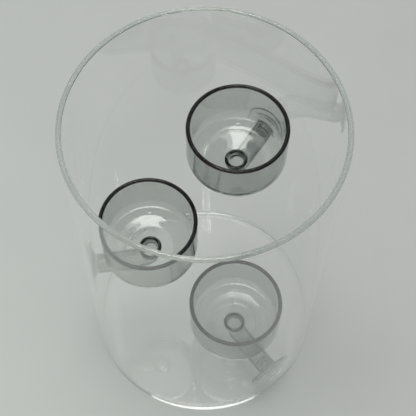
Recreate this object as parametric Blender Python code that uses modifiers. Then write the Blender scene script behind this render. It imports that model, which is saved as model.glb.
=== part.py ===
"""Glass cylinder vessel with three smoked drain cups, each hung on the wall by a suction cup.

Metres, +Z up. The origin is the centre of the vessel's underside.
Each cup has an empty on its arm's axis, turned so that the empty's +X points out to the wall.
"""

import math

import bmesh
import bpy

MM = 0.001
GAP = 0.3 * MM                      # clearance between neighbouring solids
MERGE = 0.01 * MM

# Vessel
VESSEL_RADIUS = 80.0 * MM
VESSEL_WALL = 3.2 * MM
VESSEL_HEIGHT = 260.0 * MM
BORE_RADIUS = VESSEL_RADIUS - VESSEL_WALL
BASE_THICKNESS = 4.0 * MM
HEEL_RADIUS = 1.2 * MM              # rounding of the base disc's lower edge

# Cup bowl
CUP_RADIUS = 31.0 * MM
CUP_WALL = 2.6 * MM
CUP_HEIGHT = 40.9 * MM
CUP_CORNER = 9.0 * MM               # inner radius of the bottom corner
FLOOR_TILT = math.radians(11.5)     # fall of the bowl's floor towards the drain
CUP_OFFSET = 35.6 * MM              # vessel axis to cup axis

# Drain collar and side arm
COLLAR_RADIUS = 7.35 * MM
COLLAR_PROUD = 0.5 * MM             # height of the collar above the bowl's floor
DRAIN_RADIUS = 4.6 * MM             # bore of the collar and of the arm
ARM_RADIUS = 6.35 * MM
ELBOW_RADIUS = 7.2 * MM             # centreline radius of the arm's bend
ARM_END = 71.6 * MM                 # vessel axis to the arm's open end
UNDERSIDE = ELBOW_RADIUS + GAP      # bowl's lowest point above the arm's axis

# Suction cup, with heights measured from the vessel's wall inwards
PAD_RADIUS = 15.0 * MM
PAD_LIP = 0.9 * MM                  # thickness at the rim
PAD_HOLLOW_RADIUS = 12.5 * MM
PAD_HOLLOW_DEPTH = 1.5 * MM
SHOULDER_RADIUS = 6.2 * MM
SHOULDER_HEIGHT = BORE_RADIUS - ARM_END - 2 * GAP
PLUG_RADIUS = DRAIN_RADIUS - GAP
PLUG_LENGTH = 9.0 * MM
PLUG_ROUNDING = 1.0 * MM

# Each cup: name, bearing of its arm in degrees from +X, height of its arm's axis
CUPS = (
    ("upper", 57.0, 161.6 * MM),
    ("middle", 190.5, 109.1 * MM),
    ("lower", 307.0, 38.1 * MM),
)

# Facets round each turned shape
VESSEL_STEPS = 72
CUP_STEPS = 40
TUBE_STEPS = 20
PAD_STEPS = 28
BEND_STEPS = 6


def clear_scene():
    for thing in list(bpy.data.objects):
        bpy.data.objects.remove(thing, do_unlink=True)


def glass_material(name, colour, roughness, ior):
    material = bpy.data.materials.new(name)
    material.use_nodes = True
    material.diffuse_color = (*colour, 1.0)
    shader = material.node_tree.nodes["Principled BSDF"]
    shader.inputs["Base Color"].default_value = (*colour, 1.0)
    shader.inputs["Roughness"].default_value = roughness
    shader.inputs["Metallic"].default_value = 0.0
    shader.inputs["Transmission Weight"].default_value = 0.9
    shader.inputs["IOR"].default_value = ior
    return material


def arc(centre, radius, start, end, steps):
    """Points (r, z) from angle start to angle end in degrees, both ends included."""
    points = []
    for i in range(steps + 1):
        angle = math.radians(start + (end - start) * i / steps)
        points.append((centre[0] + radius * math.cos(angle), centre[1] + radius * math.sin(angle)))
    return points


def turned(name, profile, steps, closed=True):
    """A solid of revolution about its own Z. The profile runs down its outer side."""
    edges = [(i, i + 1) for i in range(len(profile) - 1)]
    if closed:
        edges.append((len(profile) - 1, 0))
    mesh = bpy.data.meshes.new(name)
    mesh.from_pydata([(r, 0.0, z) for r, z in profile], edges, [])
    part = bpy.data.objects.new(name, mesh)
    screw = part.modifiers.new("Turn", "SCREW")
    screw.axis = "Z"
    screw.steps = steps
    screw.render_steps = steps
    screw.use_merge_vertices = True
    screw.merge_threshold = MERGE
    screw.use_smooth_shade = True
    return part


def cylinder_wall():
    """Tube with a fully rounded, fire-polished rim."""
    rounding = VESSEL_WALL / 2
    foot = BASE_THICKNESS + GAP
    profile = arc((VESSEL_RADIUS - rounding, VESSEL_HEIGHT - rounding), rounding, 180, 0, 6)
    profile += [(VESSEL_RADIUS, foot), (BORE_RADIUS, foot)]
    return turned("cylinder_wall", profile, VESSEL_STEPS)


def base_disc():
    """Flat disc that closes the foot of the tube, with a small rounded heel."""
    profile = [(0.0, BASE_THICKNESS), (VESSEL_RADIUS, BASE_THICKNESS)]
    profile += arc((VESSEL_RADIUS - HEEL_RADIUS, HEEL_RADIUS), HEEL_RADIUS, 0, -90, 4)
    profile += [(0.0, 0.0)]
    return turned("base_disc", profile, VESSEL_STEPS, closed=False)


def bowl(name):
    """Straight-sided cup with a round bottom corner. Its floor falls to a hole for the collar."""
    rounding = CUP_WALL / 2
    outer_corner = CUP_CORNER + CUP_WALL
    hole = COLLAR_RADIUS + GAP
    corner_r = CUP_RADIUS - outer_corner
    run = corner_r + outer_corner * math.sin(FLOOR_TILT) - hole
    corner_z = UNDERSIDE + run * math.tan(FLOOR_TILT) + outer_corner * math.cos(FLOOR_TILT)
    corner = (corner_r, corner_z)
    bottom = math.degrees(FLOOR_TILT) - 90
    floor_top = UNDERSIDE + CUP_WALL / math.cos(FLOOR_TILT)
    profile = arc((CUP_RADIUS - rounding, UNDERSIDE + CUP_HEIGHT - rounding), rounding, 180, 0, 4)
    profile += arc(corner, outer_corner, 0, bottom, 5)
    profile += [(hole, UNDERSIDE), (hole, floor_top)]
    profile += arc(corner, CUP_CORNER, bottom, 0, 5)
    return turned(name, profile, CUP_STEPS)


def drain_collar(name):
    """Thick ring that stands in the bowl's hole and opens into the arm below."""
    rounding = (COLLAR_RADIUS - DRAIN_RADIUS) / 2
    crown = UNDERSIDE + CUP_WALL + COLLAR_PROUD - rounding
    profile = arc((COLLAR_RADIUS - rounding, crown), rounding, 180, 0, 4)
    profile += [(COLLAR_RADIUS, UNDERSIDE), (DRAIN_RADIUS, UNDERSIDE)]
    return turned(name, profile, TUBE_STEPS)


def side_arm(name):
    """Elbow tube: down from the collar, round a quarter bend, then out along +X to its open end."""
    shell = bmesh.new()
    bmesh.ops.create_circle(shell, segments=TUBE_STEPS, radius=ARM_RADIUS)
    bmesh.ops.translate(shell, verts=shell.verts, vec=(0, 0, ELBOW_RADIUS))
    bend = bmesh.ops.spin(
        shell,
        geom=shell.edges[:],
        cent=(ELBOW_RADIUS, 0, ELBOW_RADIUS),
        axis=(0, 1, 0),
        angle=-math.pi / 2,
        steps=BEND_STEPS,
    )
    last_ring = [g for g in bend["geom_last"] if isinstance(g, bmesh.types.BMEdge)]
    straight = bmesh.ops.extrude_edge_only(shell, edges=last_ring)
    open_end = [g for g in straight["geom"] if isinstance(g, bmesh.types.BMVert)]
    run = ARM_END - CUP_OFFSET - ELBOW_RADIUS
    bmesh.ops.translate(shell, verts=open_end, vec=(run, 0, 0))
    bmesh.ops.recalc_face_normals(shell, faces=shell.faces)
    mesh = bpy.data.meshes.new(name)
    shell.to_mesh(mesh)
    shell.free()
    mesh.shade_smooth()
    arm = bpy.data.objects.new(name, mesh)
    wall = arm.modifiers.new("Wall", "SOLIDIFY")
    wall.thickness = ARM_RADIUS - DRAIN_RADIUS
    wall.offset = -1.0
    wall.use_even_offset = True
    return arm


def suction_cup(name, collection):
    """Soft pad with a hollow face and a plug for the arm. Its Z points in, away from the wall."""
    neck = SHOULDER_RADIUS + 1.2 * MM
    tip = SHOULDER_HEIGHT + PLUG_LENGTH
    profile = [(0.0, tip)]
    profile += arc((PLUG_RADIUS - PLUG_ROUNDING, tip - PLUG_ROUNDING), PLUG_ROUNDING, 90, 0, 2)
    profile += [
        (PLUG_RADIUS, SHOULDER_HEIGHT),
        (SHOULDER_RADIUS, SHOULDER_HEIGHT),
        (neck, SHOULDER_HEIGHT * 0.62),
        (PAD_HOLLOW_RADIUS - MM, PAD_LIP * 1.6),
        (PAD_RADIUS - PAD_LIP / 3, PAD_LIP),
        (PAD_RADIUS, PAD_LIP / 2),
        (PAD_RADIUS - PAD_LIP / 3, 0.0),
        (PAD_HOLLOW_RADIUS, 0.0),
        (PAD_HOLLOW_RADIUS / 2, PAD_HOLLOW_DEPTH * 0.75),
        (0.0, PAD_HOLLOW_DEPTH),
    ]
    flat_pad = turned(name, profile, PAD_STEPS, closed=False)
    collection.objects.link(flat_pad)
    bpy.context.view_layer.update()
    view = bpy.context.evaluated_depsgraph_get()
    mesh = bpy.data.meshes.new_from_object(flat_pad.evaluated_get(view))
    bpy.data.objects.remove(flat_pad)
    bend_to_bore(mesh)
    return bpy.data.objects.new(name, mesh)


def bend_to_bore(mesh):
    """Pushes the pad inwards at its sides, so that its lip follows the vessel's round bore."""
    bore = BORE_RADIUS - GAP
    for vertex in mesh.vertices:
        share = max(0.0, 1.0 - vertex.co.z / SHOULDER_HEIGHT)
        vertex.co.z += share * (bore - math.sqrt(bore ** 2 - vertex.co.y ** 2))


def place(part, collection, material, parent=None, location=(0, 0, 0), rotation=(0, 0, 0)):
    if part.name not in collection.objects:
        collection.objects.link(part)
    part.data.materials.append(material)
    part.parent = parent
    part.location = location
    part.rotation_euler = rotation


def main():
    clear_scene()
    collection = bpy.data.collections.new("skimmer_vessel")
    bpy.context.scene.collection.children.link(collection)
    clear_glass = glass_material("clear_glass", (0.90, 0.95, 0.93), 0.02, 1.47)
    smoked_glass = glass_material("smoked_glass", (0.20, 0.22, 0.22), 0.02, 1.47)
    clear_vinyl = glass_material("clear_vinyl", (0.85, 0.88, 0.87), 0.15, 1.53)

    place(cylinder_wall(), collection, clear_glass)
    place(base_disc(), collection, clear_glass)

    for name, bearing, height in CUPS:
        axis = bpy.data.objects.new(name + "_arm_axis", None)
        collection.objects.link(axis)
        axis.location = (0, 0, height)
        axis.rotation_euler = (0, 0, math.radians(bearing))
        cup_axis = (CUP_OFFSET, 0, 0)
        place(bowl(name + "_bowl"), collection, smoked_glass, axis, cup_axis)
        place(drain_collar(name + "_drain_collar"), collection, smoked_glass, axis, cup_axis)
        place(side_arm(name + "_side_arm"), collection, smoked_glass, axis, cup_axis)
        pad = suction_cup(name + "_suction_cup", collection)
        place(pad, collection, clear_vinyl, axis, (BORE_RADIUS - GAP, 0, 0), (0, -math.pi / 2, 0))


main()
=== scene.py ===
"""Glass cylinder vessel with three smoked drain cups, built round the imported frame.

Metres, +Z up. Every profile is a list of (radius, height) points in millimetres, and angles are in degrees.
"""
import math

import bmesh
import bpy
from mathutils import Matrix, Vector


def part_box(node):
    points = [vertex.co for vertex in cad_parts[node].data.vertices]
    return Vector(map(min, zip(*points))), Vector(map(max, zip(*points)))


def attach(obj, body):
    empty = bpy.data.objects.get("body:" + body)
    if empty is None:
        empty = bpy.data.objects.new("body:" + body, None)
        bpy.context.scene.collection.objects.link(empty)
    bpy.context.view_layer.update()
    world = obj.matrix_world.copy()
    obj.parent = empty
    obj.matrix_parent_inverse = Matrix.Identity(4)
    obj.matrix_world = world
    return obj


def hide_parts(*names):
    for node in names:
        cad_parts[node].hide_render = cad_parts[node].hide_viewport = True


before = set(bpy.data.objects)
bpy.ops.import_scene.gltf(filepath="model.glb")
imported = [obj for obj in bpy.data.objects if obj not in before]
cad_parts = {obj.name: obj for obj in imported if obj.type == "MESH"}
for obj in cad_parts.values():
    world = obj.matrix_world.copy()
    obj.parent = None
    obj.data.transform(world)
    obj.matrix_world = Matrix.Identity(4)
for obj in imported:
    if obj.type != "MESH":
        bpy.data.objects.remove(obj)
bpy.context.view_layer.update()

MM = 0.001

# Vessel
VESSEL_R = 80.0
BORE_R = 76.8
VESSEL_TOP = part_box("cylinder_wall")[1].z / MM
BASE_TOP = 4.0
HEEL_R = 2.0                        # round between the underside and the side
INNER_FILLET = 2.6                  # round between the base's top and the bore

# Cups. Their heights are above the arm's axis.
CUP_R = 31.0
CUP_WALL = 2.6
CUP_RIM = 48.4
CUP_CORNER = 9.0                    # inner radius of the bottom corner
CORNER_CENTRE = (CUP_R - CUP_WALL - CUP_CORNER, 22.0)
CUP_OFFSET = 35.6                   # from the vessel's axis to the cup's axis
DRAIN_HOLE = 7.3
SEAM_R = 26.6                       # where the floor was melted to the side, and a fine ledge is left
SEAM_WIDTH = 0.85
SEAM_TILT = 12.5

# Each cup: name, bearing of its arm from +X, height of its arm's axis
CUPS = (("upper", 57.0, 161.6), ("middle", 190.5, 109.1), ("lower", 307.0, 38.1))

# Each hand-made floor falls to its drain in its own way: the fall inside start, the fall where the corner
# begins, what is added half way between, and the radius start.
FLOORS = {
    "upper": (9.4, 9.4, 6.4, DRAIN_HOLE),
    "middle": (1.0, 10.0, 10.5, 13.5),
    "lower": (0.5, 6.5, 27.0, 12.6),
}

# Ring in the drain hole
COLLAR_R = 7.2
COLLAR_MOUTH = 4.95
COLLAR_PROUD = 1.1                  # above the floor's edge
COLLAR_FOOT = 7.25                  # a hair above the arm's end

# Arm
TUBE_R = 6.35
TUBE_BORE = 4.6
ELBOW_R = 7.2
ARM_END = 71.6                      # from the vessel's axis
CUT_ROUND = 0.4                     # on the edges of the arm's open end
TOP_ROUND = 0.05                    # on those under the drain, where the bend leaves no room for more

# Suction cup. Its heights are above the wall that it sticks to.
PAD_GAP = 0.3                       # at the wall and at the arm's end
PAD_HEIGHT = BORE_R - ARM_END - 2 * PAD_GAP
HUB_R = 6.2
HUB_EDGE = 0.3
FLARE_END = (14.4, 0.95)
FLARE_POWER = 2.4                   # how fast the flare falls away from the hub
BEAD_R = 10.2                       # fine bead round the flare
BEAD_HEIGHT = 0.30
BEAD_WIDTH = 0.45
LIP_R = 14.52                       # centre of the lip's round edge
LIP_ROUND = 0.46
FOOT_RING = [(14.0, 0.05), (13.2, 0.0), (12.5, 0.05)]
HOLLOW_DEPTH = 1.45
PLUG_R = 4.3
PLUG_LENGTH = 7.0
PLUG_NOSE_R = 1.0
GROOVES = (2.6, 4.9)                # from the plug's tip, between its soft ribs
GROOVE_DEPTH = 0.35
GROOVE_HALF = 0.5

# Materials
GLASS_IOR = 1.47
TUBE_IOR = 1.25                     # bends light less, so that the thin tube shows as an even band
GRAZING_POWER = 5.0                 # how fast the light lost at a surface grows towards grazing
# painted shade: base colour that darkens the cups' rims
LIP_PAINTED_SHADE = (0.22, 0.19, 0.19, 1)

# Camera, held above and in front of the vessel
CAMERA_AT = (0.0022, -0.2930, 0.7305)
CAMERA_PITCH = 62.68                # downwards
CAMERA_ROLL = -0.62
CAMERA_LENS = 89.57

# Lamps: name, size, place, tilt about X, brightness beside white paper, colour
LAMPS = (
    ("ceiling_panel", (0.68, 0.75), (-0.10, 0.125, 2.2), 0, 7.0, (1.0, 1.0, 0.96)),
    ("ceiling_dim", (0.26, 0.75), (0.37, 0.125, 2.2), 0, 2.4, (1.0, 1.0, 0.98)),
    ("ceiling_back", (1.3, 1.2), (0.0, 1.15, 2.2), 0, 1.15, (1.0, 1.0, 0.98)),
    ("window_left", (0.07, 0.24), (-0.065, -0.91, 1.9), -25, 14.0, (1.0, 1.0, 1.0)),
    ("window_right", (0.04, 0.20), (0.03, -0.91, 1.9), -25, 14.0, (1.0, 1.0, 1.0)),
)

# Mesh fineness: points round each axis, and steps along each curve
VESSEL_STEPS = 256
CUP_STEPS = 160
TUBE_STEPS = 72
PAD_STEPS = 96
FLOOR_STEPS = 40
COLLAR_STEPS = 12
ELBOW_STEPS = 24
ARM_STEPS = 12
CUT_STEPS = 8
FLARE_STEPS = 40
HOLLOW_STEPS = 10


# ---------------------------------------------------------------- meshes

def arc(centre, radius, start, end, steps):
    """Points from angle start to angle end, both ends included."""
    points = []
    for i in range(steps + 1):
        a = math.radians(start + (end - start) * i / steps)
        points.append((centre[0] + radius * math.cos(a), centre[1] + radius * math.sin(a)))
    return points


def line(start, end, steps, guard=0.12):
    """Points between start and end, without either of them. The first and last lie close to the ends,
    so that the smooth shading of a corner doesn't spread into the straight run."""
    length = math.dist(start, end)
    shares = [guard / length] + [i / steps for i in range(1, steps)] + [1 - guard / length]
    return [tuple(a + (b - a) * t for a, b in zip(start, end)) for t in shares]


def lathe(name, profile, steps, closed):
    """Smooth solid of revolution about Z. An open profile starts and ends on the axis."""
    mesh = bmesh.new()
    rings = []
    for r, z in profile:
        if r < 1e-6:
            rings.append([mesh.verts.new((0, 0, z * MM))])
            continue
        ring = []
        for k in range(steps):
            a = 2 * math.pi * k / steps
            ring.append(mesh.verts.new((r * MM * math.cos(a), r * MM * math.sin(a), z * MM)))
        rings.append(ring)
    pairs = list(zip(rings, rings[1:]))
    if closed:
        pairs.append((rings[-1], rings[0]))
    for a, b in pairs:
        for k in range(steps):
            after = (k + 1) % steps
            corners = [a[k % len(a)], a[after % len(a)], b[after % len(b)], b[k % len(b)]]
            mesh.faces.new(list(dict.fromkeys(corners)))     # a point on the axis is taken only once
    return finished(name, mesh)


def finished(name, mesh):
    """Smooth object made from mesh, its faces turned outwards. mesh is used up."""
    bmesh.ops.recalc_face_normals(mesh, faces=mesh.faces)
    data = bpy.data.meshes.new(name)
    mesh.to_mesh(data)
    mesh.free()
    data.shade_smooth()
    thing = bpy.data.objects.new(name, data)
    bpy.context.scene.collection.objects.link(thing)
    return thing


def swept_tube(name, path, outer, inner, steps, start_round, end_round):
    """Tube along path, a list of (centre, side, up) frames in which side x up points backwards. Both ends
    are cut square, with their edges rounded by start_round and end_round."""
    mesh = bmesh.new()
    rings = []

    def add_ring(place, radius, back=0.0):
        centre, side, up = place
        middle = centre + side.cross(up) * back
        ring = []
        for k in range(steps):
            a = 2 * math.pi * k / steps
            spoke = side * math.cos(a) + up * math.sin(a)
            ring.append(mesh.verts.new(middle + spoke * radius))
        rings.append(ring)

    def add_cut(place, back, first, last):
        """Squashed half round over the wall's thickness, flat across the middle of the cut."""
        for i in range(CUT_STEPS + 1):
            a = math.radians(first + (last - first) * i / CUT_STEPS)
            across = math.copysign(abs(math.sin(a)) ** 0.5, math.sin(a))
            depth = 1 - max(math.cos(a), 0.0) ** 0.5
            add_ring(place, (outer + inner) / 2 + (outer - inner) / 2 * across, back * depth)

    for place in path[1:-1]:
        add_ring(place, outer)
    add_cut(path[-1], end_round, 90, -90)
    for place in reversed(path[1:-1]):
        add_ring(place, inner)
    add_cut(path[0], -start_round, -90, 90)
    for a, b in zip(rings, rings[1:] + rings[:1]):
        for k in range(steps):
            after = (k + 1) % steps
            mesh.faces.new((a[k], a[after], b[after], b[k]))
    return finished(name, mesh)


# ---------------------------------------------------------------- materials

class Nodes:
    """A material's node tree, with the few calls that the materials below share."""

    def __init__(self, name):
        self.material = bpy.data.materials.new(name)
        self.material.use_nodes = True
        self.tree = self.material.node_tree
        self.tree.nodes.clear()
        self.out = self.add("ShaderNodeOutputMaterial")

    def add(self, kind, **values):
        """New node. Each value sets a property of it or, where it has none of that name, an input."""
        node = self.tree.nodes.new(kind)
        for key, value in values.items():
            if hasattr(node, key):
                setattr(node, key, value)
            else:
                node.inputs[key.replace("_", " ")].default_value = value
        return node

    def link(self, a, b):
        self.tree.links.new(a, b)

    def mixed(self, share, low, high):
        """Colour that goes from low to high with share."""
        mix = self.add("ShaderNodeMixRGB", Color1=low, Color2=high)
        self.link(share, mix.inputs["Fac"])
        return mix.outputs[0]

    def power(self, value, exponent):
        node = self.add("ShaderNodeMath", operation="POWER")
        node.inputs[1].default_value = exponent
        self.link(value, node.inputs[0])
        return node.outputs[0]

    def scaled(self, colour, factor):
        node = self.add("ShaderNodeVectorMath", operation="SCALE")
        self.link(colour, node.inputs[0])
        self.link(factor, node.inputs["Scale"])
        return node.outputs[0]

    def mapped(self, value, **limits):
        node = self.add("ShaderNodeMapRange", **limits)
        self.link(value, node.inputs["Value"])
        return node.outputs[0]

    def noise(self, place, **settings):
        node = self.add("ShaderNodeTexNoise", **settings)
        self.link(place, node.inputs["Vector"])
        return node.outputs["Fac"]

    def bump(self, shader, height, strength, distance):
        node = self.add("ShaderNodeBump", Strength=strength, Distance=distance)
        self.link(height, node.inputs["Height"])
        self.link(node.outputs[0], shader.inputs["Normal"])

    def darken_with_depth(self, density, colour):
        loss = self.add("ShaderNodeVolumeAbsorption", Density=density, Color=colour)
        self.link(loss.outputs[0], self.out.inputs["Volume"])


def let_light_through(n, surface, tint, edge_loss):
    """Lamps shine straight through the glass, less so where they graze it, so that it casts a soft shadow."""
    path = n.add("ShaderNodeLightPath")
    either = n.add("ShaderNodeMath", operation="MAXIMUM")
    n.link(path.outputs["Is Shadow Ray"], either.inputs[0])
    n.link(path.outputs["Is Diffuse Ray"], either.inputs[1])
    graze = n.add("ShaderNodeLayerWeight", Blend=0.5)
    lost = n.mapped(n.power(graze.outputs["Facing"], GRAZING_POWER), To_Max=edge_loss)
    clear = n.add("ShaderNodeBsdfTransparent")
    n.link(n.mixed(lost, (*tint, 1), (0, 0, 0, 1)), clear.inputs["Color"])
    mix = n.add("ShaderNodeMixShader")
    n.link(either.outputs[0], mix.inputs["Fac"])
    n.link(surface, mix.inputs[1])
    n.link(clear.outputs[0], mix.inputs[2])
    n.link(mix.outputs[0], n.out.inputs["Surface"])


def glass(name, absorb, tint, wave, wave_scale, ior=GLASS_IOR, edge_loss=0.6):
    """Glass whose colour comes from its thickness and from painted shade on the cups' rims, with the faint
    waviness of drawn or blown glass.

    absorb is the light lost per metre in red, green and blue. tint is what is left of a lamp's light at
    each surface, and edge_loss the share that grazing light loses as well. wave is in metres.
    """
    n = Nodes(name)
    shader = n.add("ShaderNodeBsdfPrincipled", IOR=ior, Transmission_Weight=1.0)
    # painted shade: points marked lip get a darker base colour
    lip = n.add("ShaderNodeAttribute", attribute_name="lip")
    n.link(n.mixed(lip.outputs["Fac"], (1, 1, 1, 1), LIP_PAINTED_SHADE), shader.inputs["Base Color"])
    place = n.add("ShaderNodeTexCoord").outputs["Object"]
    stretch = n.add("ShaderNodeMapping", Scale=(1, 1, 0.35))        # waves are long in Z
    n.link(place, stretch.inputs["Vector"])
    ripple = n.noise(stretch.outputs[0], Scale=wave_scale, Detail=1.0, Roughness=0.4)
    n.bump(shader, ripple, strength=1.0, distance=wave)
    smear = n.noise(place, Scale=90.0, Detail=3.0)
    haze = n.mapped(smear, From_Min=0.6, From_Max=0.95, To_Min=0.0, To_Max=0.03)
    n.link(haze, shader.inputs["Roughness"])
    strongest = max(absorb)
    n.darken_with_depth(strongest, (*(1 - a / strongest for a in absorb), 1))
    let_light_through(n, shader.outputs[0], tint, edge_loss)
    return n.material


def vinyl(name):
    """Clear soft plastic, a little uneven, and grey where it is thick."""
    n = Nodes(name)
    shader = n.add("ShaderNodeBsdfPrincipled", IOR=1.5, Transmission_Weight=1.0, Roughness=0.0)
    shader.inputs["Base Color"].default_value = (0.97, 0.98, 0.975, 1)
    place = n.add("ShaderNodeTexCoord").outputs["Object"]
    n.bump(shader, n.noise(place, Scale=180.0, Detail=2.0), strength=0.5, distance=0.00006)
    n.darken_with_depth(45.0, (0.05, 0.10, 0.08, 1))
    let_light_through(n, shader.outputs[0], tint=(0.86, 0.87, 0.87), edge_loss=0.6)
    return n.material


# ---------------------------------------------------------------- pieces

def settle(thing, material, body, place=None):
    """Moves a piece to its place, where one is given, and hands it to its body."""
    if place is not None:
        thing.data.transform(place)
    thing.data.materials.append(material)
    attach(thing, body)


def vessel(material):
    """Wall and base as one continuous glass."""
    rim = (VESSEL_R - BORE_R) / 2
    profile = [(0.0, 0.0)] + line((0, 0), (VESSEL_R - HEEL_R, 0), 8)
    profile += arc((VESSEL_R - HEEL_R, HEEL_R), HEEL_R, -90, 0, 12)
    profile += line((VESSEL_R, HEEL_R), (VESSEL_R, VESSEL_TOP - rim), 24)
    profile += arc((VESSEL_R - rim, VESSEL_TOP - rim), rim, 0, 180, 20)
    profile += line((BORE_R, VESSEL_TOP - rim), (BORE_R, BASE_TOP + INNER_FILLET), 24)
    profile += arc((BORE_R - INNER_FILLET, BASE_TOP + INNER_FILLET), INNER_FILLET, 0, -90, 12)
    profile += line((BORE_R - INNER_FILLET, BASE_TOP), (0, BASE_TOP), 8) + [(0.0, BASE_TOP)]
    thing = lathe("vessel_glass", profile, VESSEL_STEPS, closed=False)
    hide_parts("cylinder_wall", "base_disc")
    settle(thing, material, "vessel")


def corner_point(tilt):
    """Point of the bottom corner's inner round where it rises at tilt."""
    a = math.radians(tilt)
    return (CORNER_CENTRE[0] + CUP_CORNER * math.sin(a), CORNER_CENTRE[1] - CUP_CORNER * math.cos(a))


def corner_tilt(radius):
    """How steeply the bottom corner's inner round rises at radius."""
    return math.degrees(math.asin((radius - CORNER_CENTRE[0]) / CUP_CORNER))


def dished_floor(inner_tilt, edge_tilt, extra, start):
    """Points of the floor's top from the drain out to the corner, after one row of FLOORS."""
    end, z = corner_point(edge_tilt)
    step = (end - DRAIN_HOLE) / FLOOR_STEPS
    points = [(end, z)]
    for i in range(FLOOR_STEPS):
        r = end - (i + 0.5) * step
        share = max(0.0, (r - start) / (end - start))
        tilt = inner_tilt + (edge_tilt - inner_tilt) * share + extra * math.sin(math.pi * share) ** 2
        z -= math.tan(math.radians(tilt)) * step
        points.append((end - (i + 1) * step, z))
    return points[::-1]


def corner_with_seam(edge_tilt):
    """Points of the inner corner from the floor's edge up to the straight side, with the seam's ledge."""
    below = corner_tilt(SEAM_R - SEAM_WIDTH / 2)
    above = corner_tilt(SEAM_R + SEAM_WIDTH / 2)
    ledge = corner_point(below)
    far = (SEAM_R + SEAM_WIDTH / 2, ledge[1] + SEAM_WIDTH * math.tan(math.radians(SEAM_TILT)))
    upper_z = far[1] + CUP_CORNER * math.cos(math.radians(above))
    points = arc(CORNER_CENTRE, CUP_CORNER, edge_tilt - 90, below - 90, 20)[1:]
    points += line(ledge, far, 2, guard=0.06)
    points += arc((CORNER_CENTRE[0], upper_z), CUP_CORNER, above - 90, 0, 12)
    return points


def mark_painted_lip_shade(thing, height):
    """Gives the points above height the attribute by which the glass is painted darker, as painted shade on
    the rim.
    """
    lip = thing.data.attributes.new("lip", "FLOAT", "POINT")
    for v, mark in zip(thing.data.vertices, lip.data):
        mark.value = 1.0 if v.co.z > height else 0.0


def bowl(name, material, place, body):
    """Cup, turned about its own Z. Returns the height of its floor's edge at the drain."""
    half = CUP_WALL / 2
    lip = arc((CUP_R - half, CUP_RIM - half), half, 180, 0, 16)
    edge_tilt = FLOORS[name][1]
    top = dished_floor(*FLOORS[name])
    corner = corner_with_seam(edge_tilt)
    profile = lip + line(lip[-1], (CUP_R, CORNER_CENTRE[1]), 8)
    profile += arc(CORNER_CENTRE, CUP_CORNER + CUP_WALL, 0, edge_tilt - 90, 24)
    profile += [(r, z - CUP_WALL) for r, z in reversed(top[:-3])] + top + corner
    profile += line(corner[-1], lip[0], 8)
    thing = lathe(name + "_bowl_glass", profile, CUP_STEPS, closed=True)
    # painted shade on the rim
    mark_painted_lip_shade(thing, (CUP_RIM - half) * MM)
    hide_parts(name + "_bowl")
    settle(thing, material, body, place)
    return top[0][1]


def collar(name, material, place, body, floor_z):
    """Ring that stands in the floor's hole, its bore flared a little towards a round mouth."""
    half = (COLLAR_R - COLLAR_MOUTH) / 2
    crown = floor_z + COLLAR_PROUD - half
    throat = COLLAR_FOOT + 0.4
    profile = [(COLLAR_R, COLLAR_FOOT + 0.3), (COLLAR_R - 0.1, COLLAR_FOOT)]
    profile += [(TUBE_BORE + 0.1, COLLAR_FOOT), (TUBE_BORE, COLLAR_FOOT + 0.1)]
    for i in range(COLLAR_STEPS + 1):
        t = i / COLLAR_STEPS
        profile.append((TUBE_BORE + (COLLAR_MOUTH - TUBE_BORE) * t ** 1.5, throat + (crown - throat) * t))
    profile += arc((COLLAR_R - half, crown), half, 180, 0, 16)[1:]
    thing = lathe(name + "_collar_glass", profile, TUBE_STEPS, closed=True)
    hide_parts(name + "_drain_collar")
    settle(thing, material, body, place)


def arm(name, material, place, body):
    """Elbow from under the drain, round a quarter bend and out along +X."""
    z_axis, y_axis = Vector((0, 0, 1)), Vector((0, 1, 0))
    path = []
    for i in range(ELBOW_STEPS + 1):
        a = math.pi / 2 * i / ELBOW_STEPS
        centre = Vector((ELBOW_R * (1 - math.cos(a)), 0, ELBOW_R * (1 - math.sin(a)))) * MM
        inwards = Vector((math.cos(a), 0, math.sin(a)))      # towards the bend's centre
        path.append((centre, inwards, y_axis))
    run = ARM_END - CUP_OFFSET - ELBOW_R
    for i in range(1, ARM_STEPS + 1):
        path.append((Vector((ELBOW_R + run * i / ARM_STEPS, 0, 0)) * MM, z_axis, y_axis))
    thing = swept_tube(name + "_arm_glass", path, TUBE_R * MM, TUBE_BORE * MM, TUBE_STEPS,
                       start_round=TOP_ROUND * MM, end_round=CUT_ROUND * MM)
    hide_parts(name + "_side_arm")
    settle(thing, material, body, place)


def plug_profile():
    """From the plug's tip, past the grooves between its ribs, down to the hub."""
    tip = PAD_HEIGHT + PLUG_LENGTH
    points = [(0.0, tip)] + arc((PLUG_R - PLUG_NOSE_R, tip - PLUG_NOSE_R), PLUG_NOSE_R, 90, 0, 8)
    bottom = PLUG_R - GROOVE_DEPTH
    for depth in GROOVES:
        z = tip - depth
        points += [(PLUG_R, z + GROOVE_HALF), (bottom, z + GROOVE_HALF / 2)]
        points += [(bottom, z - GROOVE_HALF / 2), (PLUG_R, z - GROOVE_HALF)]
    return points + [(PLUG_R, PAD_HEIGHT + 0.15), (PLUG_R + 0.15, PAD_HEIGHT)]


def flare_profile():
    """From the hub's edge down the concave flare, over its bead, to the lip."""
    hub_z = PAD_HEIGHT - HUB_EDGE
    points = [(HUB_R - HUB_EDGE, PAD_HEIGHT), (HUB_R, hub_z)]
    for i in range(1, FLARE_STEPS + 1):
        t = i / FLARE_STEPS
        r = HUB_R + (FLARE_END[0] - HUB_R) * t
        bead = BEAD_HEIGHT * math.exp(-((r - BEAD_R) / BEAD_WIDTH) ** 2)
        points.append((r, FLARE_END[1] + (hub_z - FLARE_END[1]) * (1 - t) ** FLARE_POWER + bead))
    return points


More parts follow.
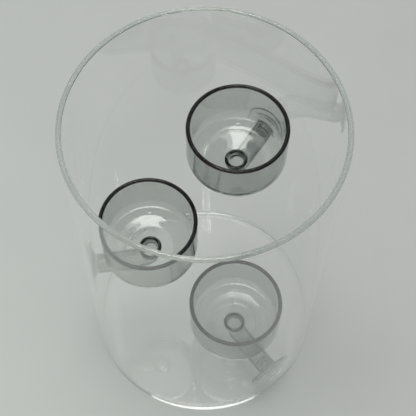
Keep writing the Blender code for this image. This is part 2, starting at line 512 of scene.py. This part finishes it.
def hollow_profile():
    """Round the lip and over the hollow face to the axis."""
    points = arc((LIP_R, LIP_ROUND), LIP_ROUND, 90, -90, 10) + FOOT_RING
    edge_r, edge_z = FOOT_RING[-1]
    for i in range(1, HOLLOW_STEPS + 1):
        t = i / HOLLOW_STEPS
        points.append((edge_r * (1 - t), edge_z + HOLLOW_DEPTH * math.sin(math.pi / 2 * t)))
    return points


def pad(name, material, place, body):
    """Suction cup, turned about its own Z and then bent to the vessel's bore."""
    profile = plug_profile() + flare_profile() + hollow_profile()
    thing = lathe(name + "_pad_vinyl", profile, PAD_STEPS, closed=False)
    bore = (BORE_R - PAD_GAP) * MM
    for v in thing.data.vertices:
        share = max(0.0, 1.0 - v.co.z / (PAD_HEIGHT * MM))
        v.co.z += share * (bore - math.sqrt(bore ** 2 - v.co.y ** 2))
    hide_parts(name + "_suction_cup")
    settle(thing, material, body, place)


def turn_to(bearing, height, reach):
    """Place on the cup's bearing, at height and reach away from the vessel's axis."""
    return (Matrix.Rotation(math.radians(bearing), 4, "Z")
            @ Matrix.Translation((reach * MM, 0, height * MM)))


def build():
    clear = glass("clear_glass_detail", absorb=(0.30, 0.18, 0.26), tint=(1.0, 1.0, 1.0),
                  wave=0.000003, wave_scale=12.0, edge_loss=0.1)
    smoked = glass("smoked_glass_detail", absorb=(117.0, 108.0, 113.0), tint=(0.91, 0.915, 0.91),
                   wave=0.00001, wave_scale=35.0)
    tube = glass("smoked_tube_detail", absorb=(175.0, 162.0, 170.0), tint=(0.90, 0.905, 0.90),
                 wave=0.00001, wave_scale=60.0, ior=TUBE_IOR)
    deep = glass("smoked_collar_detail", absorb=(380.0, 355.0, 370.0), tint=(0.80, 0.80, 0.80),
                 wave=0.00001, wave_scale=60.0)
    soft = vinyl("clear_vinyl_detail")
    vessel(clear)
    for name, bearing, height in CUPS:
        centre = turn_to(bearing, height, CUP_OFFSET)
        floor_z = bowl(name, smoked, centre, name + "_cup")
        collar(name, deep, centre, name + "_cup", floor_z)
        arm(name, tube, centre, name + "_cup")
        wall = turn_to(bearing, height, BORE_R - PAD_GAP) @ Matrix.Rotation(-math.pi / 2, 4, "Y")
        pad(name, soft, wall, name + "_pad")


# ---------------------------------------------------------------- stage, light and camera

def soft_spot(n, place, centre, radius, change):
    """Factor that is change at centre and 1 from radius on."""
    shift = n.add("ShaderNodeMapping", vector_type="TEXTURE", Location=(*centre, 0), Scale=(radius,) * 3)
    n.link(place, shift.inputs["Vector"])
    ball = n.add("ShaderNodeTexGradient", gradient_type="SPHERICAL")
    n.link(shift.outputs[0], ball.inputs["Vector"])
    return n.mapped(ball.outputs["Fac"], interpolation_type="SMOOTHSTEP", To_Min=1.0, To_Max=change)


def table_top():
    """Pale table with painted light, lighter towards the front left, and a painted shadow on the right of the
    vessel.
    """
    n = Nodes("floor")
    shader = n.add("ShaderNodeBsdfPrincipled", Roughness=0.6, Specular_IOR_Level=0.2)
    place = n.add("ShaderNodeTexCoord").outputs["Object"]
    # painted light: the paper's colour runs lighter towards the front left
    across = n.add("ShaderNodeVectorMath", operation="DOT_PRODUCT")
    across.inputs[1].default_value = (-6.2, -5.0, 0)
    n.link(place, across.inputs[0])
    share = n.power(n.mapped(across.outputs["Value"], From_Min=-3.3, From_Max=1.7), 3.0)
    paper_and_painted_light = n.mixed(share, (0.775, 0.80, 0.785, 1), (0.905, 0.95, 0.915, 1))
    mottle = n.noise(place, Scale=14.0, Detail=4.0)
    tone = n.mapped(mottle, From_Min=0.3, From_Max=0.7, To_Min=0.985, To_Max=1.015)
    # painted shadow: a soft darker spot on the table to the right of the vessel
    painted_shadow = soft_spot(n, place, centre=(0.090, -0.045), radius=0.11, change=0.89)
    n.link(n.scaled(n.scaled(paper_and_painted_light, tone), painted_shadow), shader.inputs["Base Color"])
    n.link(shader.outputs[0], n.out.inputs["Surface"])
    bpy.ops.mesh.primitive_plane_add(size=8.0, location=(0, 0, -0.0004))
    thing = bpy.context.object
    thing.name = "table_top"
    thing.data.materials.append(n.material)


def softbox(name, size, location, tilt, radiance, colour):
    """Rectangular lamp that faces down before its tilt."""
    lamp = bpy.data.lights.new(name, "AREA")
    lamp.shape = "RECTANGLE"
    lamp.size, lamp.size_y = size
    lamp.energy = radiance * math.pi * size[0] * size[1]
    lamp.color = colour
    thing = bpy.data.objects.new(name, lamp)
    thing.location = location
    thing.rotation_euler = (math.radians(tilt), 0, 0)
    bpy.context.scene.collection.objects.link(thing)


def room():
    """Even light from all round."""
    world = bpy.data.worlds.new("room")
    bpy.context.scene.world = world
    world.use_nodes = True
    background = world.node_tree.nodes["Background"]
    background.inputs["Color"].default_value = (0.985, 1.0, 0.99, 1)
    background.inputs["Strength"].default_value = 0.265


def camera():
    data = bpy.data.cameras.new("camera")
    data.sensor_width = 36.0
    data.lens = CAMERA_LENS
    data.clip_start = 0.01
    pitch, roll = math.radians(CAMERA_PITCH), math.radians(CAMERA_ROLL)
    ahead = Vector((0, math.cos(pitch), -math.sin(pitch)))
    right = Vector((1, 0, 0))
    down = ahead.cross(right)
    x_axis = right * math.cos(roll) + down * math.sin(roll)
    y_axis = right * math.sin(roll) - down * math.cos(roll)
    turn = Matrix((x_axis, y_axis, -ahead)).transposed()
    thing = bpy.data.objects.new("camera", data)
    thing.matrix_world = Matrix.Translation(CAMERA_AT) @ turn.to_4x4()
    bpy.context.scene.collection.objects.link(thing)
    bpy.context.scene.camera = thing


build()
table_top()
for lamp in LAMPS:
    softbox(*lamp)
room()
camera()
bpy.context.scene.view_settings.view_transform = "Standard"
bpy.context.scene.cycles.max_bounces = 160               # light runs far down inside a glass wall
bpy.context.scene.cycles.transmission_bounces = 160
bpy.context.scene.cycles.glossy_bounces = 160
bpy.context.scene.cycles.transparent_max_bounces = 48
